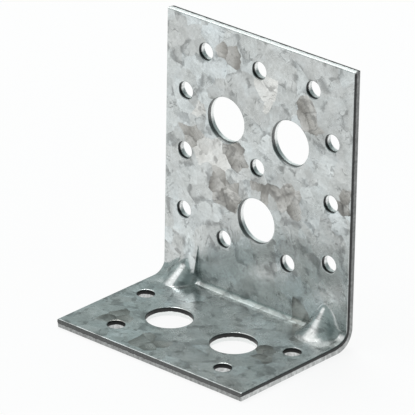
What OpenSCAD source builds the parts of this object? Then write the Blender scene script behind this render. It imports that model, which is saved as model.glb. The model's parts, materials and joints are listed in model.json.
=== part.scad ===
// Corner brace bracket: one strip of galvanised steel, punched, folded to a right angle and stiffened
// by two gussets pressed into the bend.
// X runs along the fold, +Y points to the back of the wall leg and +Z points up.
// The origin is the centre of the footprint, on the underside of the foot leg.

/* [Sheet] */
// Width of the strip, along the fold
width = 65.5; // [60:0.5:90]
// Height of the wall leg, from the underside of the foot
wall_h = 80; // [78:0.5:110]
// Depth of the foot leg, from the back of the wall to the front edge
foot_depth = 45; // [44:0.5:70]
// Thickness of the steel
sheet_t = 2.5; // [2:0.1:3]
// Inside radius of the fold
bend_r = 1.2; // [0.8:0.1:2]

/* [Bolt holes] */
// Diameter of the bolt holes
bolt_hole_d = 12.8; // [9:0.1:13.5]
// Distance of each paired bolt hole in the wall from the centre line
wall_bolt_x = 11.3; // [10:0.1:12]
// Distance of the pair of bolt holes in the wall from its top edge
wall_bolt_drop = 26.5; // [24:0.1:28]
// Height of the single bolt hole in the wall
low_bolt_z = 27.4; // [26.5:0.1:30]
// Distance of each bolt hole in the foot from the centre line
foot_bolt_x = 11.4; // [10:0.1:13]
// Distance of the bolt holes in the foot from the back of the wall
foot_bolt_back = 23.8; // [20:0.1:26]

/* [Nail holes] */
// Diameter of the nail holes
nail_hole_d = 4.8; // [3:0.1:5.5]
// Distance of the nail holes in the wall's side columns from the side edges
side_nail_edge = 7; // [5:0.1:7.2]
// Height of the lowest nail hole in each side column
side_nail_z = 22.9; // [20:0.1:25]
// Spacing of the nail holes in each side column
side_nail_pitch = 17.5; // [12:0.1:18]
// Distance of the outer nail holes in the top row from the centre line
top_nail_x = 18.8; // [14:0.1:20]
// Distance of the top row from the top edge of the wall
top_nail_edge = 8.9; // [5:0.1:9.5]
// Height of the single nail hole between the bolt holes
mid_nail_z = 43; // [41:0.1:45]
// Distance of the two lowest nail holes in the wall from the centre line
low_nail_x = 11.3; // [11:0.1:14]
// Height of the two lowest nail holes in the wall
low_nail_z = 18.5; // [14:0.1:19]
// Distance of the rear nail holes in the foot from the side edges
rear_nail_edge = 6.6; // [6:0.1:10.5]
// Distance of the rear nail holes in the foot from the back of the wall
rear_nail_back = 17; // [16:0.1:20]
// Distance of the front nail holes in the foot from the centre line
front_nail_x = 19; // [16:0.1:24]
// Distance of the front nail holes in the foot from the front edge
front_nail_edge = 8.3; // [5:0.1:8.5]

/* [Gussets] */
// Distance of each gusset's crest from the side edge
gusset_edge = 8; // [7:0.1:10]
// How far the crest climbs the wall, above the foot's upper face
gusset_up = 8.3; // [6:0.1:10]
// How far the crest runs out along the foot, from the wall's inner face
gusset_out = 8; // [6:0.1:8.5]
// Half the width of the gusset's ridge at its root
ridge_half_w = 5.2; // [4.6:0.1:6]
// Half the width of the groove that the punch leaves behind the ridge
groove_half_w = 3.6; // [2.5:0.1:3.8]
// Steel left between the crest and the bottom of the groove
crest_web = 2.1; // [1.8:0.1:2.5]
// Reach of the widened bend between the gusset and the side edge
edge_reach = 2.9; // [2:0.1:3.5]
// Outside radius of the bend between the gusset and the side edge
edge_outer_r = 5.8; // [4.5:0.1:6.5]

/* [Hidden] */
$fn = 96;

bend_outer_r = bend_r + sheet_t;
wall_back_y = foot_depth / 2;
wall_inner_y = wall_back_y - sheet_t;
foot_front_y = -foot_depth / 2;
gusset_x = width / 2 - gusset_edge;
wall_bolt_z = wall_h - wall_bolt_drop;
side_nail_x = width / 2 - side_nail_edge;
top_nail_z = wall_h - top_nail_edge;
rear_nail_x = width / 2 - rear_nail_edge;
front_nail_y = foot_front_y + front_nail_edge;
rear_nail_y = wall_back_y - rear_nail_back;
foot_bolt_y = wall_back_y - foot_bolt_back;

// Extra length of a cutter past the face that it goes through
over = 1;
// How much of the bend's radius a cut across its corner takes away
corner_cut = 2 - sqrt(2);
// Where the ridge and the groove run out towards the middle, they stay hidden inside or outside the bend
ridge_root = 0.8 * corner_cut * bend_r;
groove_root = 0.9 * corner_cut * bend_outer_r;
// How much farther the groove reaches on the outer faces than the ridge does on the inner ones
groove_extra = 2 * sheet_t - sqrt(2) * crest_web;
ridge_crest = [gusset_up, gusset_out];
groove_crest = [gusset_up + groove_extra, gusset_out + groove_extra];
// Roundness of the crest where it climbs the wall and, blunter, where it runs out on the foot
wall_end_power = 2.6;
foot_end_power = 3;
// Steepness of the flanks
flank_power = 1.1;
// Share of a straight chamfer in the section at the side edge, where the rest is a round fillet
ridge_edge_chamfer = 0.4;
groove_edge_chamfer = 0.15;
// Stations across a ridge or a groove, and steps along its section
ridge_stations = 36;
groove_stations = 24;
section_steps = 8;
// Depth to which the ridge is rooted in the sheet
root_depth = 0.8;
// Corner between the legs' inner faces and between their outer faces, as Y and Z
inner_corner = [wall_inner_y, sheet_t];
outer_corner = [wall_back_y, 0];

steel = [0.68, 0.70, 0.70];

// Bell curve: 1 at the crest, 0 at half_w and beyond
function bell(u, half_w, power) =
    pow(max(0, 1 - pow(abs(u) / half_w, power)), flank_power);

// Value at u: its crest value falls along the bell to root on the inner side and to edge on the outer side
function falling(u, half_w, power, crest, root, edge) =
    let (tail = u > 0 ? edge : root)
    tail + (crest - tail) * bell(u, half_w, power);

// Point of a pressed section, with s from 0 on the wall to 1 on the foot: a chamfer blended with a fillet
function section_point(x, s, corner, up, out, chamfer) =
    let (
        across = chamfer * s + (1 - chamfer) * (1 - cos(90 * s)),
        down = chamfer * s + (1 - chamfer) * sin(90 * s)
    )
    [x, corner[0] - out * across, corner[1] + up * (1 - down)];

// Point a run past the end of a section, straight on from its last two points
function run_past(end, before, axis, face, past) =
    let (step = abs(end[axis] - before[axis]))
    end + (end - before) * (abs(end[axis] - face) + past) / max(step, 0.02);

// Closed ring around a pressed section, run on past both legs' faces and round the corner beyond them
function section_ring(x, corner, up, out, chamfer, past) =
    let (
        points = [
            for (i = [0 : section_steps - 1])
                section_point(x, (i + 0.5) / section_steps, corner, up, out, chamfer)
        ],
        last = section_steps - 1
    )
    concat(
        [run_past(points[0], points[1], 1, corner[0], past)],
        points,
        [run_past(points[last], points[last - 1], 2, corner[1], past)],
        [[x, corner[0] + past, corner[1] - past]]
    );

// Ring of a gusset's ridge or groove at the distance u from its crest, towards the side edge
function press_ring(u, half_w, corner, crest, root, edge, edge_chamfer, past) =
    section_ring(
        gusset_x + u,
        corner,
        falling(u, half_w, wall_end_power, crest[0], root, edge),
        falling(u, half_w, foot_end_power, crest[1], root, edge),
        falling(u, half_w, wall_end_power, 1, 1, edge_chamfer),
        past
    );

// Stations across a ridge or a groove, with the last one past the side edge
function press_stations(half_w, count) =
    concat([for (i = [0 : count]) half_w * (i / count * 2 - 1)], [gusset_edge + over]);

// Solid through a row of rings that all have the same number of points
module loft(rings) {
    n = len(rings[0]);
    last = len(rings) - 1;
    sides = [
        for (i = [0 : last - 1], k = [0 : n - 1])
            let (
                a = i * n + k,
                b = i * n + (k + 1) % n
            )
            each [[a, b + n, b], [a, a + n, b + n]]
    ];
    start_cap = [for (k = [0 : n - 1]) k];
    end_cap = [for (k = [n - 1 : -1 : 0]) last * n + k];
    polyhedron(points = [for (r = rings) each r], faces = concat(sides, [start_cap, end_cap]));
}

// Ridge on the inside of one gusset
module ridge() {
    loft([
        for (u = press_stations(ridge_half_w, ridge_stations))
            press_ring(u, ridge_half_w, inner_corner, ridge_crest, ridge_root, edge_reach,
                ridge_edge_chamfer, root_depth)
    ]);
}

// Groove on the outside of one gusset
module groove() {
    loft([
        for (u = press_stations(groove_half_w, groove_stations))
            press_ring(u, groove_half_w, outer_corner, groove_crest, groove_root, edge_outer_r,
                groove_edge_chamfer, over)
    ]);
}

module both_sides() {
    children();
    mirror([1, 0, 0]) children();
}

// Folded section of the strip, with Y to the right and Z up
module folded_section() {
    translate([wall_inner_y, bend_outer_r])
        square([sheet_t, wall_h - bend_outer_r]);
    translate([foot_front_y, 0])
        square([foot_depth - bend_outer_r, sheet_t]);
    translate([wall_back_y - bend_outer_r, bend_outer_r])
        intersection() {
            difference() {
                circle(r = bend_outer_r);
                circle(r = bend_r);
            }
            translate([0, -bend_outer_r])
                square(bend_outer_r);
        }
}

// Folded strip with its gussets, before punching
module pressed_strip() {
    difference() {
        intersection() {
            union() {
                rotate([90, 0, 90])
                    linear_extrude(width + 2 * over, center = true)
                        folded_section();
                both_sides() ridge();
            }
            translate([-width / 2, foot_front_y - over, -over])
                cube([width, foot_depth + 2 * over, wall_h + 2 * over]);
        }
        both_sides() groove();
    }
}

// Hole through the wall leg
module wall_hole(x, z, d) {
    translate([x, wall_back_y + over, z])
        rotate([90, 0, 0])
            cylinder(h = sheet_t + 2 * over, d = d);
}

// Hole through the foot leg
module foot_hole(x, y, d) {
    translate([x, y, -over])
        cylinder(h = sheet_t + 2 * over, d = d);
}

module bolt_holes() {
    for (side = [-1, 1]) {
        wall_hole(side * wall_bolt_x, wall_bolt_z, bolt_hole_d);
        foot_hole(side * foot_bolt_x, foot_bolt_y, bolt_hole_d);
    }
    wall_hole(0, low_bolt_z, bolt_hole_d);
}

module nail_holes() {
    for (side = [-1, 1]) {
        for (i = [0 : 2])
            wall_hole(side * side_nail_x, side_nail_z + i * side_nail_pitch, nail_hole_d);
        wall_hole(side * top_nail_x, top_nail_z, nail_hole_d);
        wall_hole(side * low_nail_x, low_nail_z, nail_hole_d);
        foot_hole(side * rear_nail_x, rear_nail_y, nail_hole_d);
        foot_hole(side * front_nail_x, front_nail_y, nail_hole_d);
    }
    wall_hole(0, top_nail_z, nail_hole_d);
    wall_hole(0, mid_nail_z, nail_hole_d);
}

module angle_bracket() {
    color(steel)
        difference() {
            pressed_strip();
            bolt_holes();
            nail_holes();
        }
}

angle_bracket();
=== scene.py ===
import json
import math
from collections import namedtuple

import bmesh
import bpy
import numpy as np
from mathutils import Matrix, Vector
from mathutils.geometry import delaunay_2d_cdt


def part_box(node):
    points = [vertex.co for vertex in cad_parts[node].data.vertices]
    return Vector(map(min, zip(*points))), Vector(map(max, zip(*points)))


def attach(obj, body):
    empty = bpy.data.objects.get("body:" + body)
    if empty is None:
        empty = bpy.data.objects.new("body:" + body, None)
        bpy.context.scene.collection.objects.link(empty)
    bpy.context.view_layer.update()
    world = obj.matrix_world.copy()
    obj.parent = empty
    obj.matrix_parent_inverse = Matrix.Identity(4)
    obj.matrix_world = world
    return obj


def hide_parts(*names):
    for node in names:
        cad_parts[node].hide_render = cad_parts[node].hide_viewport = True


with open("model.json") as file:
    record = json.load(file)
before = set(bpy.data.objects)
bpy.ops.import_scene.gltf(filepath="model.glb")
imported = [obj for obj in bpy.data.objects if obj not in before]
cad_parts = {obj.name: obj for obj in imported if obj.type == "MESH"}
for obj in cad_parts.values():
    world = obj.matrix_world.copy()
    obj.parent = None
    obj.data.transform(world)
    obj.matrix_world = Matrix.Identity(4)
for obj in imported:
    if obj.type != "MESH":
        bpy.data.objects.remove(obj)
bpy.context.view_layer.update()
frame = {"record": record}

NODE = "angle_bracket"
MM = 0.001

# Sizes of the bracket, in millimetres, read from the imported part
box_low, box_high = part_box(NODE)
MOUNTS = {m["name"]: m for m in frame["record"]["mounts"]}
HALF_WIDTH = box_high[0] / MM
WALL_HEIGHT = box_high[2] / MM
BACK_Y = box_high[1] / MM
FRONT_Y = box_low[1] / MM
SHEET = MOUNTS["low_bolt_hole"]["dims"]["length_mm"]
INNER_Y = BACK_Y - SHEET

# Fold, in millimetres. It grows wider over the span WIDENING from a gusset's middle towards the side edge
FOLD_R = 1.2
FOLD_POWER = 1.3
FOLD_OUTER_R = FOLD_R + SHEET
EDGE_FOLD_R = 2.9
EDGE_FOLD_OUTER_R = 5.8
GUSSET_X = HALF_WIDTH - 8.0
WIDENING = (-1.0, 3.5)

# Each gusset's ridge, in millimetres: a crest from the wall to the foot with a crown that grows rounder on
# its way down, cut by an inner and an outer side and by a blunt nose. In the names, top is at the wall, foot
# at the foot, r is a radius and w a half width
Gusset = namedtuple("Gusset", (
    "top_x", "foot_x", "up", "run", "sag", "top_r", "foot_r", "flare", "top_w", "foot_w", "outer_w",
    "inner_lean", "outer_lean", "shoulder_r", "nose", "nose_r", "crease_r", "top_blend_r", "outer_blend_r",
))
LEFT_GUSSET = Gusset(
    top_x=24.28, foot_x=26.26, up=7.05, run=7.0, sag=0.93, top_r=6.2, foot_r=9.3, flare=1.0, top_w=3.04,
    foot_w=3.68, outer_w=-1.48, inner_lean=0.34, outer_lean=1.43, shoulder_r=1.85, nose=8.8, nose_r=2.46,
    crease_r=0.4, top_blend_r=1.2, outer_blend_r=1.64,
)
RIGHT_GUSSET = Gusset(
    top_x=24.80, foot_x=24.56, up=8.22, run=7.4, sag=0.97, top_r=2.3, foot_r=9.5, flare=2.6, top_w=1.1,
    foot_w=4.2, outer_w=1.0, inner_lean=0.9, outer_lean=1.27, shoulder_r=0.7, nose=8.0, nose_r=0.3,
    crease_r=0.8, top_blend_r=0.6, outer_blend_r=1.5,
)

# Both ridges, in millimetres: how far the crown's curve reaches, how much the nose bows, and the spans over
# which the blend with the sheet changes up the wall and towards the side edge
CROWN_REACH = 6.0
NOSE_BOW = 0.04
BLEND_UP = (4.0, 8.0)
BLEND_OUTER = (1.0, 4.0)
LEAST_BLEND_R = 0.05

# Gentle slope above the left ridge, in millimetres: its middle, half width, top and foot, how far it leans
# out, and how round its sides and creases are
SLOPE_X = -23.2
SLOPE_HALF_W = 2.9
SLOPE_TOP = 11.5
SLOPE_FOOT = 3.0
SLOPE_LEAN = 0.18
SLOPE_SIDE_R = 0.3
SLOPE_CREASE_R = 0.15

# Groove that the punch leaves behind each ridge, in millimetres. It reaches further on the outer face by
# GROOVE_EXTRA, which leaves the crest's web of steel
GROOVE_UP = 8.3
GROOVE_OUT = 8.0
GROOVE_HALF_W = 3.6
GROOVE_ROOT = 0.4 * FOLD_OUTER_R
GROOVE_UP_POWER = 2.6
GROOVE_OUT_POWER = 3.0
BELL_POWER = 1.1
CREST_WEB = 2.1
GROOVE_EXTRA = 2 * SHEET - math.sqrt(2) * CREST_WEB
MOUTH_BLEND = 1.0
LEAST_WEB = 1.6

# Sheared edges, in millimetres
ROLL_R = 0.36
BREAK_LEAN = 0.16
ARRIS = 0.06

# Each cut's burnished share of the thickness, and how bright its burnished and torn bands are. These tones
# are partly the bare steel's own and partly painted light: a painted highlight on the top edge's burnished
# band and in the holes' torn bands, and painted shade in the dark bands of the side and front edges
Cut = namedtuple("Cut", "share burnished torn")
WALL_SIDE = Cut(0.38, 0.050, 0.25)
FOOT_SIDE = Cut(0.40, 0.060, 0.66)
WALL_TOP = Cut(0.70, 0.85, 0.07)
FOOT_FRONT = Cut(0.50, 0.13, 0.40)
WALL_BOLT = Cut(0.46, 0.18, 1.20)
FOOT_BOLT = Cut(0.50, 0.045, 1.50)
WALL_NAIL = Cut(0.38, 0.040, 0.95)
FOOT_NAIL = Cut(0.50, 0.030, 0.70)
OUTER_EDGES = (WALL_SIDE, FOOT_SIDE, WALL_TOP, FOOT_FRONT)

# Mesh, with lengths in millimetres. A patch of rows and columns covers the fold, from PATCH_UP on the wall to
# PATCH_OUT on the foot, with its columns close together within RIDGE_REACH of each gusset's middle. The holes
# for bolts are those with a radius over BOLT_MIN_R
PATCH_UP = 12.5
PATCH_OUT = 11.0
PATCH_ROWS = 120
TRIAL_ROWS = 900
MIDDLE_COLUMNS = 7
RIDGE_COLUMNS = 74
RIDGE_REACH = 6.4
SIDE_COLUMN = 1.0
CORNER_STEP = 0.5
ROLL_STEPS = 7
BOLT_MIN_R = 4.0
BOLT_STEPS = 96
NAIL_STEPS = 56
HALVINGS = 48
NUDGE = 1e-6

# Mesh: the triangulation keeps what is inside the loops, and a face is in a hole when its middle is within
# this share of the radius; points closer than MERGE_M metres are joined, and edges over the angle are sharp
INSIDE_ONLY = 1
NEAR = 1e-7
WITHIN_HOLE = 0.999
MERGE_M = 2e-6
SHARP_ANGLE = 34

# Patches of the zinc: x, q from the inner corner (up the wall, or minus out on the foot), half width and
# half height, in millimetres
Patch = namedtuple("Patch", "x q half_x half_q")
DARK_CRYSTALS = (
    Patch(18.5, 59.0, 3.0, 6.0),
    Patch(-11.5, 30.5, 5.5, 5.5),
    Patch(-23.0, 43.0, 5.0, 3.0),
    Patch(-7.0, 42.0, 4.0, 4.5),
    Patch(30.0, 37.0, 3.0, 5.5),
    Patch(11.5, 35.5, 5.5, 3.5),
    Patch(3.0, 35.5, 3.0, 4.0),
    Patch(-11.0, 70.5, 3.0, 3.5),
    Patch(16.5, 4.5, 3.0, 2.5),
    Patch(-21.5, -31.0, 4.0, 4.0),
    Patch(-5.5, -36.0, 4.5, 4.0),
    Patch(22.5, -20.5, 2.5, 3.5),
    Patch(29.5, -33.0, 2.0, 2.0),
)
PALE_CRYSTALS = (
    Patch(-15.0, 39.5, 6.0, 5.5),
    Patch(2.5, 62.0, 3.5, 4.5),
    Patch(-21.0, 51.5, 3.0, 3.5),
)

# Painted highlight: the zinc is made paler on the wall just above the left gusset, for the bright light that
# part catches
PAINTED_HIGHLIGHT_PATCH = Patch(-23.5, 9.5, 2.0, 4.0)

# Tones of the zinc, by a random value or by the place across a crystal, and of the sheared steel, which
# shows in these zones of a cut
CRYSTAL_TONES = [
    (0.00, (0.565, 0.588, 0.585)),
    (0.20, (0.625, 0.645, 0.64)),
    (0.45, (0.64, 0.665, 0.66)),
    (0.75, (0.66, 0.695, 0.695)),
    (1.00, (0.71, 0.755, 0.765)),
]
DARK_TONES = [
    (0.0, (0.28, 0.273, 0.257)),
    (0.3, (0.41, 0.404, 0.383)),
    (1.0, (0.60, 0.597, 0.577)),
]
CLOUD_TONES = [
    (0.30, (0.80, 0.80, 0.79)),
    (0.45, (0.96, 0.96, 0.952)),
    (0.55, (1.02, 1.025, 1.025)),
    (0.70, (1.06, 1.09, 1.10)),
]
SMALL_CRYSTAL_TONES = [(0.0, 0.88), (0.15, 0.97), (0.9, 1.02), (1.0, 1.06)]
GRAIN_TONES = [(0.3, 0.55), (0.7, 1.35)]
PALE_TONE = (0.785, 0.79, 0.77)
PAINTED_HIGHLIGHT_TONE = (0.80, 0.86, 0.87)
SHEARED_TONE = (0.98, 1.0, 0.99)
SHEARED_ZONES = [(0.015, 0.0), (0.05, 1.0), (0.985, 1.0), (0.999, 0.0)]
LIP_DEPTH = 0.72
WHITE = (1.0, 1.0, 1.0)

# Painted shade in the bottom of the fold, which dims the bend's highlight. In millimetres: its ends, from the
# gussets' middles, its edges, from the inner corner, and its tones, by how far from that corner
FOLD_SHADE_ENDS = (7, 5)
FOLD_SHADE_EDGES = (1.2, 1.6)
FOLD_SHADE_TONES = [
    (0.0, (0.56, 0.60, 0.59)),
    (0.5, (0.56, 0.60, 0.59)),
    (0.8, (0.80, 0.84, 0.83)),
    (1.0, (0.84, 0.88, 0.87)),
]

# Sizes in the zinc: crystals to the metre, how closely the large ones' outlines follow the small ones, how
# far to each side of a crystal's middle its shading runs, in metres, and a full turn in radians
SMALL_CRYSTALS = 235.0
LARGE_CRYSTALS = 130.0
FACETING = 0.6
DARK_SHADING = 0.0022
LARGE_SHADING = 0.004
FULL_TURN = 6.28

# View of the photograph: angles in degrees, places in metres, lens and sensor in millimetres
VIEW_AZIMUTH = 41.18
VIEW_ELEVATION = 24.36
VIEW_ROLL = 1.01
VIEW_DISTANCE = 1.3532
VIEW_TARGET = Vector((0.00068, -0.00047, 0.03837))
VIEW_LENS = 444.8
VIEW_SENSOR = 36
VIEW_CLIP_END = 20

# Light: where the soft room light comes from, its strength and its tones, which run from square to that
# direction (0.50) to straight along it (1.00), and one lamp, in metres and watts
ROOM_LIGHT = (-0.45, -0.30, 0.84)
ROOM_STRENGTH = 1.8
ROOM_TONES = [
    (0.50, (0.088, 0.115, 0.114)),
    (0.60, (0.096, 0.124, 0.123)),
    (0.70, (0.188, 0.225, 0.222)),
    (0.91, (0.210, 0.248, 0.246)),
    (0.97, (0.80, 0.80, 0.80)),
    (1.00, (1.0, 1.0, 1.0)),
]
LAMP_PLACE = (-0.33, 0.38, 1.09)
LAMP_TARGET = (0, 0, 0.05)
LAMP_SIZE = 0.5
LAMP_WATTS = 6

# Floor: its size in metres, and how much of what is seen of it is white whatever the light
FLOOR_SIZE = 8
BACKDROP_SHARE = 0.88


# Pressed section: signed distances, positive in the air, at a in front of the wall and b above the foot

def bell(u, half_w, power):
    """1 in the middle, falling to 0 at the half width."""
    return np.maximum(0.0, 1.0 - (np.abs(u) / half_w) ** power) ** BELL_POWER


def round_union(d1, d2, r):
    near = np.hypot(np.maximum(r - d1, 0), np.maximum(r - d2, 0))
    return np.maximum(r, np.minimum(d1, d2)) - near


def round_cut(d1, d2, r):
    return -round_union(-d1, -d2, r)


def flat_union(d1, d2, r, power):
    """Like a round union, flatter across the middle the closer the power is to 1."""
    near = (np.maximum(r - d1, 0) ** power + np.maximum(r - d2, 0) ** power) ** (1 / power)
    return np.maximum(r, np.minimum(d1, d2)) - near


def chamfer_distance(a, b, out, up):
    return (a / out + b / up - 1) / np.hypot(1 / out, 1 / up)


def curved_distance(a, b, out, up, power):
    """Like a chamfer's distance, with a section that sags below the chamfer where the power is under 1."""
    level = (np.maximum(a, NUDGE) / out) ** power + (np.maximum(b, NUDGE) / up) ** power
    return (level ** (1 / power) - 1) / np.hypot(1 / out, 1 / up)


def smooth_step(value, low, high):
    s = np.clip((value - low) / (high - low), 0, 1)
    return s * s * (3 - 2 * s)


def widening(x):
    """0 in the middle of the bracket, 1 between a gusset and the side edge."""
    return smooth_step(np.abs(x) - GUSSET_X, *WIDENING)


def leaning_side(u, width, lean, slope):
    return (u - width + lean * slope) / np.hypot(1, lean)


def add_ridge(fold, g, x, a, b):
    """The fold's surface with a gusset's ridge on it, at x from the bracket's middle."""
    down = np.clip((a / g.run - b / g.up + 1) / 2, 0, 1)
    u = x - g.top_x - (g.foot_x - g.top_x) * down
    slope = curved_distance(a, b, g.run, g.up, g.sag)
    crown_r = g.top_r + (g.foot_r - g.top_r) * down ** g.flare
    near_u = np.minimum(np.abs(u), CROWN_REACH)
    crown = (slope + near_u ** 2 / (2 * crown_r)) / np.hypot(1, near_u / crown_r)
    width = g.top_w + (g.foot_w - g.top_w) * down
    body = round_cut(crown, leaning_side(-u, width, g.inner_lean, slope), g.shoulder_r)
    body = round_cut(body, leaning_side(u, width + g.outer_w, g.outer_lean, slope), g.shoulder_r)
    body = round_cut(body, a - g.nose + NOSE_BOW * u * u, g.nose_r)
    blend = g.crease_r + (g.top_blend_r - g.crease_r) * smooth_step(b, *BLEND_UP)
    blend = blend + (g.outer_blend_r - g.crease_r) * smooth_step(u, *BLEND_OUTER)
    return round_union(fold, body, np.maximum(blend, LEAST_BLEND_R))


def left_slope(x, a, b):
    """Where the press has drawn the wall out a little above the left ridge."""
    face = (a - SLOPE_LEAN * (SLOPE_TOP - b)) / math.hypot(1, SLOPE_LEAN)
    face = round_cut(face, SLOPE_FOOT - b, SLOPE_SIDE_R)
    return round_cut(face, np.abs(x - SLOPE_X) - SLOPE_HALF_W, SLOPE_SIDE_R)


def inner_distance(x, a, b):
    """Distance from the inner surface: the fold, and on each side its gusset's ridge."""
    wide = widening(x)
    fold = flat_union(a, b, FOLD_R + (EDGE_FOLD_R - FOLD_R) * wide, FOLD_POWER + (2 - FOLD_POWER) * wide)
    left = round_union(fold, left_slope(x, a, b), SLOPE_CREASE_R)
    left = add_ridge(left, LEFT_GUSSET, -x, a, b)
    right = add_ridge(fold, RIGHT_GUSSET, x, a, b)
    return np.where(x < 0, left, right)


def outer_distance(x, a, b):
    """Distance from the outer surface: the fold, and the groove behind each ridge, a web away from it."""
    u = np.abs(x) - GUSSET_X
    radius = FOLD_OUTER_R + (EDGE_FOLD_OUTER_R - FOLD_OUTER_R) * widening(x)
    fold = round_cut(-(a + SHEET), -(b + SHEET), radius)
    full_up = GROOVE_UP + GROOVE_EXTRA - GROOVE_ROOT
    full_out = GROOVE_OUT + GROOVE_EXTRA - GROOVE_ROOT
    up = GROOVE_ROOT + full_up * bell(u, GROOVE_HALF_W, GROOVE_UP_POWER)
    out = GROOVE_ROOT + full_out * bell(u, GROOVE_HALF_W, GROOVE_OUT_POWER)
    groove = -chamfer_distance(a + SHEET, b + SHEET, out, up)
    return np.minimum(round_cut(fold, groove, MOUTH_BLEND), -inner_distance(x, a, b) - LEAST_WEB)


def march(distance, x, rows, outward):
    """Where rays from the patch's far corner cross the surface, as a and b for each column x and row."""
    x = x[:, None]
    target_a = np.where(rows > 0, 0.0, -rows)[None, :] + 0 * x
    target_b = np.where(rows > 0, rows, 0.0)[None, :] + 0 * x
    reach = np.hypot(target_a - PATCH_OUT, target_b - PATCH_UP)
    dir_a = (target_a - PATCH_OUT) / reach
    dir_b = (target_b - PATCH_UP) / reach
    low = np.zeros_like(reach)
    high = reach + (2 * SHEET if outward else NUDGE)
    if outward:
        low = march_length(inner_distance, x, dir_a, dir_b, low, reach + NUDGE, 1)
    r = march_length(distance, x, dir_a, dir_b, low, high, -1 if outward else 1)
    return PATCH_OUT + r * dir_a, PATCH_UP + r * dir_b


def march_length(distance, x, dir_a, dir_b, low, high, sign):
    """Length along each ray at which the distance times the sign turns negative, by halving."""
    for _ in range(HALVINGS):
        mid = (low + high) / 2
        d = sign * distance(x, PATCH_OUT + mid * dir_a, PATCH_UP + mid * dir_b)
        low = np.where(d > 0, mid, low)
        high = np.where(d > 0, high, mid)
    return (low + high) / 2


# Mesh of the sheet. Flat coordinates are x along the fold, and q away from the inner corner: positive up the
# wall and negative out on the foot

class SheetMesh:
    """Points, flat coordinates, place in the cut and faces of the sheet, gathered part by part."""

    def __init__(self):
        self.points = []
        self.flat = []
        self.cut = []
        self.faces = []

    def add(self, points, flat, zone, faces, burnished=0.0, torn=0.0):
        start = len(self.points)
        self.points.extend(map(tuple, points))
        self.flat.extend(map(tuple, flat))
        self.cut.extend(zip(zone, burnished + 0 * zone, torn + 0 * zone))
        self.faces.extend([tuple(start + i for i in f) for f in faces])

    def add_grid(self, points, flat, zone, flip=False, burnished=0.0, torn=0.0):
        """points is rows by columns by 3; neighbours are joined by quads."""
        tones = [np.broadcast_to(tone, zone.shape).reshape(-1) for tone in (burnished, torn)]
        n, m = points.shape[:2]
        faces = []
        for i in range(n - 1):
            for j in range(m - 1):
                quad = (i * m + j, i * m + j + 1, (i + 1) * m + j + 1, (i + 1) * m + j)
                faces.append(quad[::-1] if flip else quad)
        self.add(points.reshape(-1, 3), flat.reshape(-1, 2), zone.reshape(-1), faces, *tones)

    def to_object(self, name):
        mesh = bpy.data.meshes.new(name)
        mesh.from_pydata([(x * MM, y * MM, z * MM) for x, y, z in self.points], [], self.faces)
        cut = mesh.attributes.new("cut", "FLOAT_VECTOR", "POINT")
        cut.data.foreach_set("vector", np.array(self.cut, dtype=np.float32).reshape(-1))
        flat = np.zeros((len(self.points), 3), dtype=np.float32)
        flat[:, :2] = np.array(self.flat) * MM
        sheet = mesh.attributes.new("sheet", "FLOAT_VECTOR", "POINT")
        sheet.data.foreach_set("vector", flat.reshape(-1))
        bm = bmesh.new()
        bm.from_mesh(mesh)
        bmesh.ops.remove_doubles(bm, verts=bm.verts, dist=MERGE_M)
        bmesh.ops.recalc_face_normals(bm, faces=bm.faces)
        if bm.calc_volume(signed=True) < 0:
            bmesh.ops.reverse_faces(bm, faces=bm.faces)
        bm.to_mesh(mesh)
        bm.free()
        piece = bpy.data.objects.new(name, mesh)
        bpy.context.collection.objects.link(piece)
        return piece


def place(x, q, depth):
    """Position of flat coordinates on either leg, at a depth below the inner face."""
    wall = q > 0
    y = np.where(wall, INNER_Y + depth, INNER_Y + q)
    z = np.where(wall, SHEET + q, SHEET - depth)
    return np.stack([x + 0 * q, y, z], -1)


def edge_profile(share):
    """Insets from the edge, depths below the inner face and zones of a cut, by level.

    Zones run from 0 on the inner face through 0.1 below the roll-over and 0.5 where the burnished band
    ends to 1 on the outer face, whatever the burnished share of the thickness is.
    """
    levels = []
    for turn in np.radians(np.linspace(0, 90, ROLL_STEPS)):
        down = 1 - math.cos(turn)
        levels.append((ROLL_R * (1 - math.sin(turn)), ROLL_R * down, 0.1 * down))
    levels += [
        (0.0, SHEET * (0.4 * share + 0.06), 0.3),
        (0.0, SHEET * share, 0.5),
        (0.35 * BREAK_LEAN, SHEET * (share + 0.05), 0.55),
        (BREAK_LEAN, SHEET - ARRIS, 0.97),
        (BREAK_LEAN + ARRIS, SHEET, 1.0),
    ]
    return np.array(levels).T


def outer_profile(cut):
    """The one profile of all outer edges, so that they meet without gaps, with the cut's own zones."""
    inset, depth, _ = edge_profile(FOOT_SIDE.share)
    own = edge_profile(cut.share)
    depths = np.unique(np.concatenate([edge_profile(edge.share)[1] for edge in OUTER_EDGES]))
    return np.interp(depths, depth, inset), depths, np.interp(depths, own[1], own[2])


def read_holes():
    """Centre in flat coordinates and radius of each punched hole, from the part's mounts."""
    holes = []
    for mount in MOUNTS.values():
        if mount["kind"] not in ("bore", "bolt_pattern"):
            continue
        dims = mount["dims"]
        x, y, z = (v / MM for v in mount["pos_m"])
        in_wall = abs(mount["axis"][1]) > 0.5
        q = z - SHEET if in_wall else y - INNER_Y
        dx = dims.get("spacing_x_mm", 0) / 2
        dq = dims.get("spacing_y_mm", 0) / 2
        radius = dims.get("r_mm") or dims["hole_r_mm"]
        holes += [(x + i, q + j, radius) for i in {-dx, dx} for j in {-dq, dq}]
    return sorted(holes)


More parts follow.
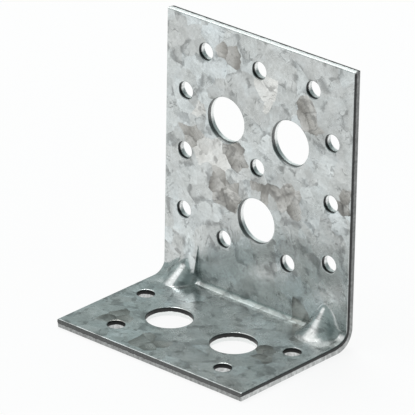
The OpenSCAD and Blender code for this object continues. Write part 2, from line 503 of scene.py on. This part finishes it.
def contour(q_start, q_end):
    """Stations and outward directions along a leg's free edges, from one side of the fold to the other."""
    sign = 1 if q_end > q_start else -1
    return np.array([
        (HALF_WIDTH, q_start, 1, 0),
        (HALF_WIDTH, q_end - sign * CORNER_STEP, 1, 0),
        (HALF_WIDTH, q_end, 1, sign),
        (HALF_WIDTH - CORNER_STEP, q_end, 0, sign),
        (CORNER_STEP - HALF_WIDTH, q_end, 0, sign),
        (-HALF_WIDTH, q_end, -1, sign),
        (-HALF_WIDTH, q_end - sign * CORNER_STEP, -1, 0),
        (-HALF_WIDTH, q_start, -1, 0),
    ])


def add_strip(sheet, stations, cut, profile):
    """Sheared wall along stations of x, q and outward direction, through the sheet's thickness."""
    inset, depth, zone = profile
    base = stations[:, :2]
    flat = base[None] - inset[:, None, None] * stations[None, :, 2:]
    points = place(flat[..., 0], flat[..., 1], depth[:, None] + 0 * flat[..., 0])
    zones = np.repeat(zone[:, None], len(base), 1)
    flat_edge = np.broadcast_to(base[None], flat.shape)
    sheet.add_grid(points, flat_edge, zones, burnished=cut.burnished, torn=cut.torn)


def hole_stations(x, q, radius, closed=False):
    """Stations round a hole, in flat coordinates, with directions towards its middle."""
    count = BOLT_STEPS if radius > BOLT_MIN_R else NAIL_STEPS
    a = np.linspace(0, 2 * math.pi, count + 1)[:count + closed]
    out = np.stack([-np.cos(a), -np.sin(a)], -1)
    return np.hstack([np.array([x, q]) - radius * out, out])


def add_leg_face(sheet, border, circles, depth):
    """Flat face of a leg: a border loop with round openings, in flat coordinates, at one depth."""
    loops = [border] + circles
    points = np.vstack(loops)
    edges = []
    start = 0
    for loop in loops:
        n = len(loop)
        edges += [(start + i, start + (i + 1) % n) for i in range(n)]
        start += n
    verts, _, faces, *_ = delaunay_2d_cdt([Vector(p) for p in points], edges, [], INSIDE_ONLY, NEAR)
    verts = np.array([tuple(v) for v in verts])
    centres = [(c.mean(0), np.hypot(*(c[0] - c.mean(0)))) for c in circles]
    kept = []
    for face in faces:
        middle = verts[list(face)].mean(0)
        if all(np.hypot(*(middle - c)) > r * WITHIN_HOLE for c, r in centres):
            kept.append(tuple(face))
    depths = np.full(len(verts), depth)
    sheet.add(place(verts[:, 0], verts[:, 1], depths), verts, depths / SHEET, kept)


def patch_columns(inset):
    """Columns of the fold's patch, close together over the gussets, out to the inset from each side."""
    middle = np.linspace(0, GUSSET_X - RIDGE_REACH, MIDDLE_COLUMNS)[:-1]
    ridge = np.linspace(GUSSET_X - RIDGE_REACH, GUSSET_X + RIDGE_REACH, RIDGE_COLUMNS)
    right = np.concatenate([middle, ridge, [HALF_WIDTH - SIDE_COLUMN, HALF_WIDTH]])
    sections = np.concatenate([-right[:0:-1], right])
    columns = np.clip(sections, -(HALF_WIDTH - inset), HALF_WIDTH - inset)
    return sections, columns


def patch_rows():
    """Rows of the patch, spread evenly over the crests' sections and the plain fold's together."""
    up_wall = np.linspace(PATCH_UP, 0, TRIAL_ROWS)[:-1]
    trial = np.concatenate([up_wall, -np.linspace(0, PATCH_OUT, TRIAL_ROWS)])
    a, b = march(inner_distance, np.array([0.0, GUSSET_X, -GUSSET_X]), trial, False)
    steps = np.hypot(np.diff(a, axis=1), np.diff(b, axis=1)).sum(0)
    travelled = np.concatenate([[0], np.cumsum(steps)])
    return np.interp(np.linspace(0, travelled[-1], PATCH_ROWS), travelled, trial)


def patch_points(columns, a, b):
    x = np.repeat(columns[:, None], a.shape[1], 1)
    return np.stack([x, INNER_Y - a, SHEET + b], -1)


def add_fold(sheet):
    """Inner and outer skins of the fold with its gussets, and its two side walls."""
    rows = patch_rows()
    inset, depth, zone = outer_profile(WALL_SIDE)
    skins = []
    for distance, outward, level in ((inner_distance, False, 0), (outer_distance, True, -1)):
        sections, columns = patch_columns(inset[level])
        a, b = march(distance, sections, rows, outward)
        flat = np.stack(np.broadcast_arrays(columns[:, None], rows[None, :]), -1)
        points = patch_points(columns, a, b)
        sheet.add_grid(points, flat, np.full(a.shape, zone[level]), flip=outward)
        skins.append(points)
    share = (depth / SHEET)[:, None, None]
    turn = (-PATCH_OUT, PATCH_UP)
    side_tones = (
        (turn, (FOOT_SIDE.burnished, WALL_SIDE.burnished)),
        (turn, (FOOT_SIDE.torn, WALL_SIDE.torn)),
    )
    for end, side in ((0, -1), (-1, 1)):
        points = skins[0][end][None] * (1 - share) + skins[1][end][None] * share
        points[..., 0] = side * (HALF_WIDTH - inset[:, None])
        flat = np.stack(np.broadcast_arrays(side * HALF_WIDTH, rows[None, :] + 0 * inset[:, None]), -1)
        zones = np.repeat(zone[:, None], len(rows), 1)
        sheet.add_grid(points, flat, zones, side > 0, *(np.interp(rows, *band) for band in side_tones))


def add_leg(sheet, holes, q_start, q_end, side_cut, end_cut):
    """Both faces and the free edges of a leg, from the fold's patch to its end."""
    border = contour(q_start, q_end)
    add_strip(sheet, border[:3], side_cut, outer_profile(side_cut))
    add_strip(sheet, border[2:6], end_cut, outer_profile(end_cut))
    add_strip(sheet, border[5:], side_cut, outer_profile(side_cut))
    inset, depth, _ = outer_profile(side_cut)
    for level in (0, -1):
        free_edge = border[:, :2] - inset[level] * border[:, 2:]
        columns = patch_columns(inset[level])[1][1:-1]
        fold_edge = np.stack([columns, np.full(len(columns), q_start)], -1)
        circles = [hole_stations(x, q, r + inset[level])[:, :2] for x, q, r in holes]
        add_leg_face(sheet, np.vstack([free_edge, fold_edge]), circles, depth[level])


def build_sheet():
    """The bracket's sheet: hole walls, the fold with its gussets, and the two legs."""
    sheet = SheetMesh()
    holes = read_holes()
    for x, q, radius in holes:
        bolt_cut, nail_cut = (WALL_BOLT, WALL_NAIL) if q > 0 else (FOOT_BOLT, FOOT_NAIL)
        cut = bolt_cut if radius > BOLT_MIN_R else nail_cut
        add_strip(sheet, hole_stations(x, q, radius, closed=True), cut, edge_profile(cut.share))
    add_fold(sheet)
    in_wall = [hole for hole in holes if hole[1] > 0]
    in_foot = [hole for hole in holes if hole[1] < 0]
    add_leg(sheet, in_wall, PATCH_UP, WALL_HEIGHT - SHEET, WALL_SIDE, WALL_TOP)
    add_leg(sheet, in_foot, -PATCH_OUT, FRONT_Y - INNER_Y, FOOT_SIDE, FOOT_FRONT)
    return sheet.to_object("bracket_sheet")


# Materials

class Graph:
    """Short calls for building one node tree. A socket given as a value is linked."""

    def __init__(self, tree):
        self.tree = tree
        tree.nodes.clear()

    def node(self, kind, inputs=None, **settings):
        node = self.tree.nodes.new(kind)
        for key, value in settings.items():
            setattr(node, key, value)
        for key, value in (inputs or {}).items():
            if isinstance(value, bpy.types.NodeSocket):
                self.tree.links.new(value, node.inputs[key])
            elif value is not None:
                node.inputs[key].default_value = value
        return node

    def attribute(self, name, output):
        return self.node("ShaderNodeAttribute", attribute_name=name).outputs[output]

    def maths(self, operation, a, b=0.0):
        return self.node("ShaderNodeMath", {0: a, 1: b}, operation=operation).outputs[0]

    def times(self, a, b):
        return self.maths("MULTIPLY", a, b)

    def one_minus(self, value):
        return self.maths("SUBTRACT", 1.0, value)

    def vector(self, operation, a, b):
        second = "Scale" if operation == "SCALE" else 1
        node = self.node("ShaderNodeVectorMath", {0: a, second: b}, operation=operation)
        return node.outputs["Value" if operation in ("DOT_PRODUCT", "LENGTH") else "Vector"]

    def noise(self, vector, scale, detail=2.0, roughness=0.5, output="Fac"):
        inputs = {"Vector": vector, "Scale": scale, "Detail": detail, "Roughness": roughness}
        return self.node("ShaderNodeTexNoise", inputs).outputs[output]

    def voronoi(self, vector, scale, feature="F1"):
        return self.node("ShaderNodeTexVoronoi", {"Vector": vector, "Scale": scale}, feature=feature)

    def ramp(self, fac, stops):
        """Stops are pairs of a position and a grey value or a colour."""
        node = self.node("ShaderNodeValToRGB", {"Fac": fac})
        elements = node.color_ramp.elements
        while len(elements) < len(stops):
            elements.new(0.5)
        for element, (position, value) in zip(elements, stops):
            element.position = position
            colour = value if isinstance(value, tuple) else (value, value, value)
            element.color = (*colour, 1)
        return node.outputs["Color"]

    def span(self, value, low, high, to_low, to_high):
        inputs = {"Value": value, "From Min": low, "From Max": high, "To Min": to_low, "To Max": to_high}
        return self.node("ShaderNodeMapRange", inputs).outputs[0]

    def mix(self, fac, a, b, blend="MIX"):
        inputs = {0: fac, 6: self.colour(a), 7: self.colour(b)}
        return self.node("ShaderNodeMix", inputs, data_type="RGBA", blend_type=blend).outputs[2]

    def colour(self, value):
        return (*value, 1) if isinstance(value, tuple) else value

    def multiply(self, first, *others):
        for other in others:
            first = self.mix(1.0, first, other, "MULTIPLY")
        return first

    def channels(self, colour):
        return self.node("ShaderNodeSeparateColor", {0: colour}).outputs

    def turned(self, vector, angle, stretch):
        """Vector turned in the sheet's plane and stretched, for grain that runs one way."""
        turn = self.node("ShaderNodeVectorRotate", {"Vector": vector, "Angle": angle}, rotation_type="Z_AXIS")
        return self.vector("MULTIPLY", turn.outputs[0], stretch)


def warped(graph, sheet, scale, reach, detail):
    """Sheet coordinates pushed sideways by noise, by half the reach at most, in metres."""
    push = graph.vector("SUBTRACT", graph.noise(sheet, scale, detail, output="Color"), (0.5, 0.5, 0.5))
    return graph.vector("ADD", sheet, graph.vector("MULTIPLY", push, (reach, reach, 0)))


def crystals(graph, sheet):
    """Two sizes of zinc crystal: small ones, and large ones whose outlines follow the small ones in part."""
    softness = graph.span(graph.noise(sheet, 110.0, 1.0), 0.42, 0.58, 0.15, 1.0)
    jitter = graph.vector("SUBTRACT", graph.noise(sheet, 5200.0, 1.0, output="Color"), (0.5, 0.5, 0.5))
    jitter = graph.vector("MULTIPLY", jitter, (0.0010, 0.0010, 0))
    frayed = graph.vector("ADD", sheet, graph.vector("SCALE", jitter, softness))
    bent = warped(graph, frayed, 200.0, 0.0018, 1.0)
    small = graph.voronoi(bent, SMALL_CRYSTALS)
    seam = graph.voronoi(bent, SMALL_CRYSTALS, "DISTANCE_TO_EDGE").outputs["Distance"]
    step = graph.vector("SUBTRACT", small.outputs["Position"], bent)
    faceted = graph.vector("ADD", bent, graph.vector("SCALE", step, FACETING))
    large = graph.voronoi(faceted, LARGE_CRYSTALS)
    border = graph.voronoi(faceted, LARGE_CRYSTALS, "DISTANCE_TO_EDGE").outputs["Distance"]
    return small, large, border, seam


def patch_distance(graph, position, patch):
    """Distance from a patch: 0 at its middle and 1 at its outline."""
    offset = graph.vector("SUBTRACT", position, (patch.x * MM, patch.q * MM, 0))
    offset = graph.vector("MULTIPLY", offset, (1 / (patch.half_x * MM), 1 / (patch.half_q * MM), 0))
    return graph.vector("LENGTH", offset, None)


def in_patches(graph, position, patches):
    """1 inside any of the patches, 0 outside them."""
    nearest = patch_distance(graph, position, patches[0])
    for patch in patches[1:]:
        nearest = graph.maths("MINIMUM", nearest, patch_distance(graph, position, patch))
    return graph.span(nearest, 0.98, 1.02, 1.0, 0.0)


def dark_tone(graph, sheet, centre, shard, seam):
    """Dark crystals: small ones that shade from one side to the other, with faint seams in places."""
    across = graph.vector("SUBTRACT", sheet, centre)
    across = graph.turned(across, graph.times(shard[2], FULL_TURN), (1, 0, 0))
    facet = graph.span(graph.channels(across)[0], -DARK_SHADING, DARK_SHADING, 0.0, 1.0)
    seamed = graph.span(graph.noise(sheet, 300.0, 2.0), 0.49, 0.58, 0.0, 0.30)
    seams = graph.times(graph.span(seam, 0.01, 0.09, 1.0, 0.0), seamed)
    return graph.multiply(graph.ramp(facet, DARK_TONES), graph.one_minus(seams))


def crystal_shade(graph, sheet, large, flake):
    """Each large crystal shades from one side to the other."""
    offset = graph.vector("SUBTRACT", sheet, large.outputs["Position"])
    lean = graph.turned(offset, graph.times(flake[1], FULL_TURN), (1, 0, 0))
    return graph.span(graph.channels(lean)[0], -LARGE_SHADING, LARGE_SHADING, 0.93, 1.06)


def crystal_grain(graph, sheet, flake, is_dark):
    """Feathery grain, each large crystal in its own direction, and deeper in the dark crystals."""
    turn = graph.times(flake[2], FULL_TURN)
    grain = graph.noise(graph.turned(sheet, turn, (260, 1500, 0)), 1.0, 4.0, 0.6)
    depth = graph.maths("ADD", 0.16, graph.times(is_dark, 0.2))
    return graph.mix(depth, WHITE, graph.ramp(grain, GRAIN_TONES))


def cloudy_tones(graph, sheet):
    """Soft clouds over many crystals, and a mottle finer than any."""
    clouds = graph.ramp(graph.noise(sheet, 150.0, 5.0, 0.68), CLOUD_TONES)
    mottle = graph.span(graph.noise(sheet, 950.0, 3.0, 0.6), 0.3, 0.7, 0.91, 1.08)
    return clouds, mottle


def fold_painted_shade(graph, sheet):
    """Painted shade: a darker tone in the narrow bottom of the fold between the gussets, darkest along the
    inner corner, which dims the bend's highlight.
    """
    along, up, _ = graph.node("ShaderNodeSeparateXYZ", {0: sheet}).outputs
    along = graph.maths("ABSOLUTE", along)
    away = graph.maths("ABSOLUTE", up)
    painted_shade = graph.ramp(graph.times(away, 1 / MM), FOLD_SHADE_TONES)
    first, last = ((GUSSET_X - reach) * MM for reach in FOLD_SHADE_ENDS)
    low, high = (edge * MM for edge in FOLD_SHADE_EDGES)
    between = graph.times(graph.span(along, first, last, 1.0, 0.0), graph.span(away, low, high, 1.0, 0.0))
    return graph.mix(between, WHITE, painted_shade)


def spangle(graph, sheet):
    """Colour of the zinc crystals, the distance from their borders, and random values for each small one."""
    small, large, border, seam = crystals(graph, sheet)
    centre = small.outputs["Position"]
    shard = graph.channels(small.outputs["Color"])
    flake = graph.channels(large.outputs["Color"])

    tone = graph.ramp(flake[0], CRYSTAL_TONES)
    tone = graph.mix(in_patches(graph, centre, PALE_CRYSTALS), tone, PALE_TONE)
    is_dark = in_patches(graph, centre, DARK_CRYSTALS)
    tone = graph.mix(is_dark, tone, dark_tone(graph, sheet, centre, shard, seam))
    # Painted highlight: paler zinc above the left gusset, for the bright light that part catches
    wear_and_highlight = graph.span(patch_distance(graph, sheet, PAINTED_HIGHLIGHT_PATCH), 0.5, 1.2, 1.0, 0.0)
    tone = graph.mix(wear_and_highlight, tone, PAINTED_HIGHLIGHT_TONE)

    shade = crystal_shade(graph, sheet, large, flake)
    grain = crystal_grain(graph, sheet, flake, is_dark)
    small_tone = graph.ramp(shard[0], SMALL_CRYSTAL_TONES)
    clouds, mottle = cloudy_tones(graph, sheet)
    # Painted shade in the bottom of the fold
    fold = fold_painted_shade(graph, sheet)
    return graph.multiply(tone, shade, grain, small_tone, clouds, mottle, fold), border, shard


def contour_line(graph, height, level, width):
    """1 along the curves where a height passes a level, falling to 0 within a width."""
    away = graph.maths("ABSOLUTE", graph.maths("SUBTRACT", height, level))
    return graph.span(away, 0.2 * width, width, 1.0, 0.0)


def fine_marks(graph, sheet, border, shard):
    """Smudges, hooked lines and scratches in the zinc, as a tone to multiply by."""
    # Dark outlines along parts of the crystals' borders, and a soft shade inside some of them
    broken = graph.span(graph.noise(sheet, 260.0, 2.0), 0.46, 0.54, 0.0, 1.0)
    outlines = graph.times(graph.span(border, 0.02, 0.08, 1.0, 0.0), broken)
    shaded = graph.span(graph.noise(sheet, 140.0, 1.0), 0.50, 0.60, 0.0, 1.0)
    halos = graph.times(graph.span(border, 0.0, 0.28, 1.0, 0.0), shaded)

    # Dark flecks, turned with the small crystals, mostly near the borders and gathered in places
    turn = graph.times(shard[1], FULL_TURN)
    dashes = graph.noise(graph.turned(sheet, turn, (420, 1300, 0)), 1.0, 3.0, 0.6)
    gathered = graph.span(graph.noise(sheet, 130.0, 3.0), 0.50, 0.60, 0.0, 1.0)
    gathered = graph.times(gathered, graph.span(border, 0.10, 0.35, 1.0, 0.25))
    flecks = graph.times(graph.span(dashes, 0.54, 0.62, 0.0, 1.0), gathered)

    # A few hooked lines, each with a pale one beside it
    curve = graph.noise(warped(graph, sheet, 700.0, 0.0012, 2.0), 230.0, 2.0, 0.5)
    some = graph.span(graph.noise(sheet, 260.0, 2.0), 0.55, 0.62, 0.0, 1.0)
    hooks = graph.times(contour_line(graph, curve, 0.5, 0.028), some)
    rims = graph.times(contour_line(graph, curve, 0.54, 0.020), some)

    # Long pale scratches
    drag = graph.noise(graph.turned(sheet, -0.75, (35, 2600, 0)), 1.0, 2.0, 0.5)
    wear_and_highlight = graph.span(graph.noise(sheet, 90.0, 2.0), 0.50, 0.62, 0.0, 1.0)
    scratches = graph.times(graph.span(drag, 0.60, 0.70, 0.0, 1.0), wear_and_highlight)

    dark = graph.times(outlines, 0.42)
    for mark, strength in ((halos, 0.15), (flecks, 0.45), (hooks, 0.34)):
        dark = graph.maths("MAXIMUM", dark, graph.times(mark, strength))
    pale = graph.maths("MAXIMUM", graph.times(rims, 0.10), graph.times(scratches, 0.12))
    return graph.maths("ADD", graph.one_minus(dark), pale)


def sheared_colour(graph, sheet, cut):
    """Sheared edges: a burnished band, a thin dark lip and a torn band, each as bright as its cut says."""
    zone, burnished, torn = cut
    depth = graph.node("ShaderNodeCombineXYZ", {0: 0.0, 1: 0.0, 2: graph.times(zone, SHEET * MM)})
    here = graph.vector("ADD", sheet, depth.outputs[0])
    ragged = graph.noise(here, 700.0, 4.0, 0.6)
    level = graph.maths("ADD", zone, graph.span(ragged, 0.3, 0.7, -0.06, 0.06))

    drawn = graph.noise(graph.vector("MULTIPLY", here, (2400, 2400, 200)), 1.0, 3.0, 0.6)
    mottle = graph.noise(graph.vector("MULTIPLY", here, (1300, 1300, 900)), 1.0, 3.0, 0.65)
    dark_band = graph.times(burnished, graph.span(drawn, 0.3, 0.7, 0.75, 1.2))
    pale_band = graph.times(torn, graph.span(mottle, 0.32, 0.68, 0.66, 1.18))
    pale_band = graph.times(pale_band, graph.span(drawn, 0.3, 0.7, 0.85, 1.12))
    pale_band = graph.maths("MINIMUM", pale_band, 0.98)

    in_torn = graph.span(level, 0.50, 0.54, 0.0, 1.0)
    rise = graph.times(in_torn, graph.maths("SUBTRACT", pale_band, dark_band))
    tone = graph.maths("ADD", dark_band, rise)
    lip = graph.times(graph.span(level, 0.46, 0.50, 0.0, 1.0), graph.span(level, 0.50, 0.57, 1.0, 0.0))
    tone = graph.times(tone, graph.one_minus(graph.times(lip, LIP_DEPTH)))
    return graph.multiply(SHEARED_TONE, tone)


def galvanised_steel():
    """Zinc crystals on the faces and bare sheared steel on the edges."""
    material = bpy.data.materials.new("galvanised_steel")
    material.use_nodes = True
    graph = Graph(material.node_tree)
    sheet = graph.attribute("sheet", "Vector")
    cut = graph.node("ShaderNodeSeparateXYZ", {0: graph.attribute("cut", "Vector")}).outputs

    zinc, border, shard = spangle(graph, sheet)
    zinc = graph.multiply(zinc, fine_marks(graph, sheet, border, shard))
    sheared = graph.ramp(cut[0], SHEARED_ZONES)
    colour = graph.mix(sheared, zinc, sheared_colour(graph, sheet, cut))

    flake_gloss = graph.span(shard[2], 0.0, 1.0, 0.19, 0.26)
    smear = graph.span(graph.noise(sheet, 380.0, 4.0, 0.6), 0.3, 0.7, -0.03, 0.05)
    cut_gloss = graph.span(cut[1], 0.2, 0.8, 0.42, 0.60)
    roughness = graph.mix(sheared, graph.maths("ADD", flake_gloss, smear), cut_gloss)

    ripple = graph.noise(sheet, 320.0, 3.0, 0.5)
    normal = graph.node("ShaderNodeBump", {"Height": ripple, "Strength": 0.12, "Distance": 0.0004})
    shader = graph.node("ShaderNodeBsdfPrincipled", {
        "Base Color": colour,
        "Roughness": roughness,
        "Metallic": 0.92,
        "Normal": normal.outputs[0],
    })
    graph.node("ShaderNodeOutputMaterial", {"Surface": shader.outputs[0]})
    return material


def pale_floor():
    """Almost white to the camera and in the metal, with a faint shadow; lit as a pale floor otherwise."""
    material = bpy.data.materials.new("pale_floor")
    material.use_nodes = True
    graph = Graph(material.node_tree)
    shader = graph.node("ShaderNodeBsdfDiffuse", {"Color": (0.9, 0.9, 0.9, 1)})
    backdrop = graph.node("ShaderNodeEmission", {"Color": (1, 1, 1, 1), "Strength": 1.0})
    share = graph.times(seen_rays(graph), BACKDROP_SHARE)
    blend = graph.node("ShaderNodeMixShader", {0: share, 1: shader.outputs[0], 2: backdrop.outputs[0]})
    graph.node("ShaderNodeOutputMaterial", {"Surface": blend.outputs[0]})
    return material


def seen_rays(graph):
    """1 for the rays that show the floor: to the camera, in the metal or through glass."""
    path = graph.node("ShaderNodeLightPath").outputs
    seen = graph.maths("MAXIMUM", path["Is Camera Ray"], path["Is Glossy Ray"])
    return graph.maths("MAXIMUM", seen, path["Is Transmission Ray"])


# Stage, light and camera

def add_floor():
    bpy.ops.mesh.primitive_plane_add(size=FLOOR_SIZE)
    floor = bpy.context.object
    floor.name = "floor"
    floor.data.materials.append(pale_floor())


def add_world():
    """Soft room light, brightest high up on the left and fading to grey on the far side."""
    world = bpy.data.worlds.new("studio")
    bpy.context.scene.world = world
    world.use_nodes = True
    graph = Graph(world.node_tree)
    direction = graph.node("ShaderNodeTexCoord").outputs["Generated"]
    facing = graph.vector("DOT_PRODUCT", direction, tuple(Vector(ROOM_LIGHT).normalized()))
    level = graph.ramp(graph.span(facing, -1.0, 1.0, 0.0, 1.0), ROOM_TONES)
    light = graph.node("ShaderNodeBackground", {"Color": level, "Strength": ROOM_STRENGTH})
    graph.node("ShaderNodeOutputWorld", {"Surface": light.outputs[0]})


def add_lamp(name, place_m, target_m, size_m, watts):
    data = bpy.data.lights.new(name, "AREA")
    data.size = size_m
    data.energy = watts
    lamp = bpy.data.objects.new(name, data)
    bpy.context.collection.objects.link(lamp)
    lamp.location = place_m
    lamp.rotation_euler = (Vector(target_m) - Vector(place_m)).to_track_quat("-Z", "Y").to_euler()


def add_camera():
    """Camera at the photograph's viewing angle, looking at the view's target."""
    azimuth, elevation, roll = (math.radians(v) for v in (VIEW_AZIMUTH, VIEW_ELEVATION, VIEW_ROLL))
    forward = Vector((
        -math.sin(azimuth) * math.cos(elevation),
        math.cos(azimuth) * math.cos(elevation),
        -math.sin(elevation),
    ))
    right = Vector((math.cos(azimuth), math.sin(azimuth), 0))
    up = right.cross(forward)
    right, up = right * math.cos(roll) + up * math.sin(roll), up * math.cos(roll) - right * math.sin(roll)
    data = bpy.data.cameras.new("camera")
    data.lens = VIEW_LENS
    data.sensor_width = VIEW_SENSOR
    data.clip_end = VIEW_CLIP_END
    camera = bpy.data.objects.new("camera", data)
    bpy.context.collection.objects.link(camera)
    turn = Matrix((right, up, -forward)).transposed()
    camera.matrix_world = Matrix.Translation(VIEW_TARGET - forward * VIEW_DISTANCE) @ turn.to_4x4()
    bpy.context.scene.camera = camera


def dress_bracket():
    """The detailed sheet, which stands for the bracket's CAD solid."""
    piece = build_sheet()
    piece.data.materials.append(galvanised_steel())
    piece.data.shade_smooth()
    piece.data.set_sharp_from_angle(angle=math.radians(SHARP_ANGLE))
    weighted = piece.modifiers.new("flat_faces", "WEIGHTED_NORMAL")
    weighted.keep_sharp = True
    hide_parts(NODE)
    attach(piece, "root")


dress_bracket()
add_floor()
add_world()
add_lamp("top", LAMP_PLACE, LAMP_TARGET, LAMP_SIZE, LAMP_WATTS)
add_camera()
bpy.context.scene.view_settings.view_transform = "Standard"
